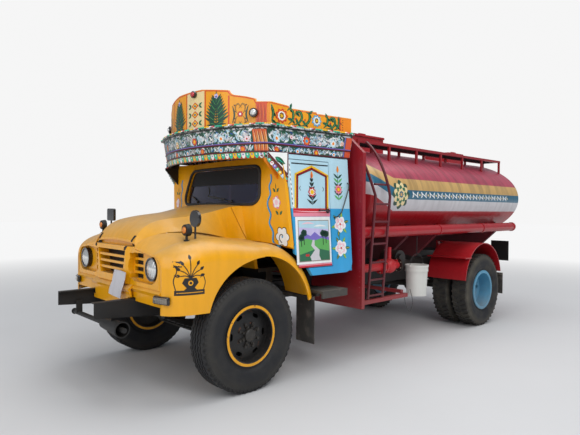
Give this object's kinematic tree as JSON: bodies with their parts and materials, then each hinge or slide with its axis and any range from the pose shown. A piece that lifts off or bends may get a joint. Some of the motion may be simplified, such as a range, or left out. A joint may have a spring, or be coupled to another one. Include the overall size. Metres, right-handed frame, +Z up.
{
  "type": "decorated bonneted tank truck",
  "caption": "Bonneted tank truck in painted folk ornament, with a flaring crown over the cab, opening bonnet and doors, steered front wheels and a ladder to the walkways.",
  "frame": {"origin": "on the ground below the middle of the truck's length and width", "axes": "+X forward, +Y to the truck's left, +Z up"},
  "size_m": [7.0606, 2.4, 2.891],
  "materials": {
    "yellow_paint": "gloss enamel, worn",
    "blue_paint": "gloss enamel, worn",
    "crown_paint": "gloss enamel, worn",
    "red_paint": "gloss enamel, worn",
    "black_paint": "satin, dusty",
    "cast_metal": "rough, oily",
    "wheel_black": "satin enamel",
    "wheel_blue": "satin enamel",
    "tyre_rubber": "matt, dusty",
    "rubber": "matt, dusty",
    "screen_glass": "clear, gloss",
    "lens_glass": "fluted, gloss",
    "amber_lens": "gloss",
    "mirror_back": "gloss",
    "seat_cover": "satin",
    "dash_plastic": "matt",
    "pail_plastic": "satin, stained"
  },
  "bodies": {
    "chassis": {"bulkhead": "red_paint", "cab_back": "blue_paint", "cab_floor": "black_paint", "cab_front": "yellow_paint", "cab_roof": "red_paint", "cab_side_left": "blue_paint", "cab_side_right": "blue_paint", "canopy": "crown_paint", "chassis_frame": "black_paint", "crown_boards": "crown_paint", "dashboard": "dash_plastic", "driveshaft": "cast_metal", "engine_block": "cast_metal", "fender_left": "yellow_paint", "fender_right": "yellow_paint", "front_apron": "yellow_paint", "front_axle": "cast_metal", "front_panel": "yellow_paint", "front_tube": "black_paint", "headlight_bowls": "mirror_back", "headlight_lenses": "lens_glass", "hose_tubes": "red_paint", "indicators": "amber_lens", "ladder": "red_paint", "lamp_boards": "black_paint", "leaf_springs": "black_paint", "manhole_necks": "red_paint", "mirrors": "mirror_back", "mud_flaps": "rubber", "pail": "pail_plastic", "pipework": "red_paint", "rear_axle": "cast_metal", "rear_fenders": "red_paint", "scuttle": "yellow_paint", "seat": "seat_cover", "side_bars": "red_paint", "steering_wheel": "dash_plastic", "steps": "black_paint", "tank": "red_paint", "tank_saddles": "red_paint", "visor": "crown_paint", "walkways": "red_paint", "windscreen": "screen_glass"},
    "knuckle_left": {"knuckle_left": "cast_metal"},
    "knuckle_right": {"knuckle_right": "cast_metal"},
    "front_wheel_left": {"wheel_front_left": "wheel_black", "tyre_front_left": "tyre_rubber"},
    "front_wheel_right": {"wheel_front_right": "wheel_black", "tyre_front_right": "tyre_rubber"},
    "rear_wheel_left": {"wheel_rear_left": "wheel_blue", "rims_rear_left": "wheel_blue", "tyre_rear_left": "tyre_rubber"},
    "rear_wheel_right": {"wheel_rear_right": "wheel_blue", "rims_rear_right": "wheel_blue", "tyre_rear_right": "tyre_rubber"},
    "bonnet": {"bonnet": "yellow_paint"},
    "door_left": {"door_left": "blue_paint"},
    "door_right": {"door_right": "blue_paint"},
    "lid_front": {"manhole_lid_front": "red_paint"},
    "lid_rear": {"manhole_lid_rear": "red_paint"}
  },
  "joints": [
    {"name": "steer_left", "type": "hinge", "parent": "chassis", "child": "knuckle_left", "pos_m": [2.34, 0.83, 0.52], "axis": [0, 0, 1], "range_deg": [-30, 30]},
    {"name": "steer_right", "type": "hinge", "parent": "chassis", "child": "knuckle_right", "pos_m": [2.34, -0.83, 0.52], "axis": [0, 0, 1], "range_deg": [-30, 30]},
    {"name": "front_wheel_left_spin", "type": "hinge", "parent": "knuckle_left", "child": "front_wheel_left", "pos_m": [2.34, 0.952, 0.52], "axis": [0, 1, 0], "continuous": true},
    {"name": "front_wheel_right_spin", "type": "hinge", "parent": "knuckle_right", "child": "front_wheel_right", "pos_m": [2.34, -0.952, 0.52], "axis": [0, 1, 0], "continuous": true},
    {"name": "rear_wheel_left_spin", "type": "hinge", "parent": "chassis", "child": "rear_wheel_left", "pos_m": [-1.9, 0.9, 0.52], "axis": [0, 1, 0], "continuous": true},
    {"name": "rear_wheel_right_spin", "type": "hinge", "parent": "chassis", "child": "rear_wheel_right", "pos_m": [-1.9, -0.9, 0.52], "axis": [0, 1, 0], "continuous": true},
    {"name": "bonnet_hinge", "type": "hinge", "parent": "chassis", "child": "bonnet", "pos_m": [2.15, 0, 1.71], "axis": [0, -1, 0], "range_deg": [0, 50]},
    {"name": "door_left_hinge", "type": "hinge", "parent": "chassis", "child": "door_left", "pos_m": [1.81622, 1.10638, 1.09788], "axis": [-0.0682, 0.0818, -0.9943], "range_deg": [0, 65]},
    {"name": "door_right_hinge", "type": "hinge", "parent": "chassis", "child": "door_right", "pos_m": [1.81622, -1.10638, 1.09788], "axis": [0.0682, 0.0818, 0.9943], "range_deg": [0, 65]},
    {"name": "lid_front_hinge", "type": "hinge", "parent": "chassis", "child": "lid_front", "pos_m": [-0.26, -0.27, 2.67], "axis": [1, 0, 0], "range_deg": [0, 100]},
    {"name": "lid_rear_hinge", "type": "hinge", "parent": "chassis", "child": "lid_rear", "pos_m": [-2.76, -0.24, 2.62], "axis": [1, 0, 0], "range_deg": [0, 100]}
  ],
  "couplings": [
    {"joint": "steer_right", "follows": "steer_left", "ratio": 1}
  ]
}
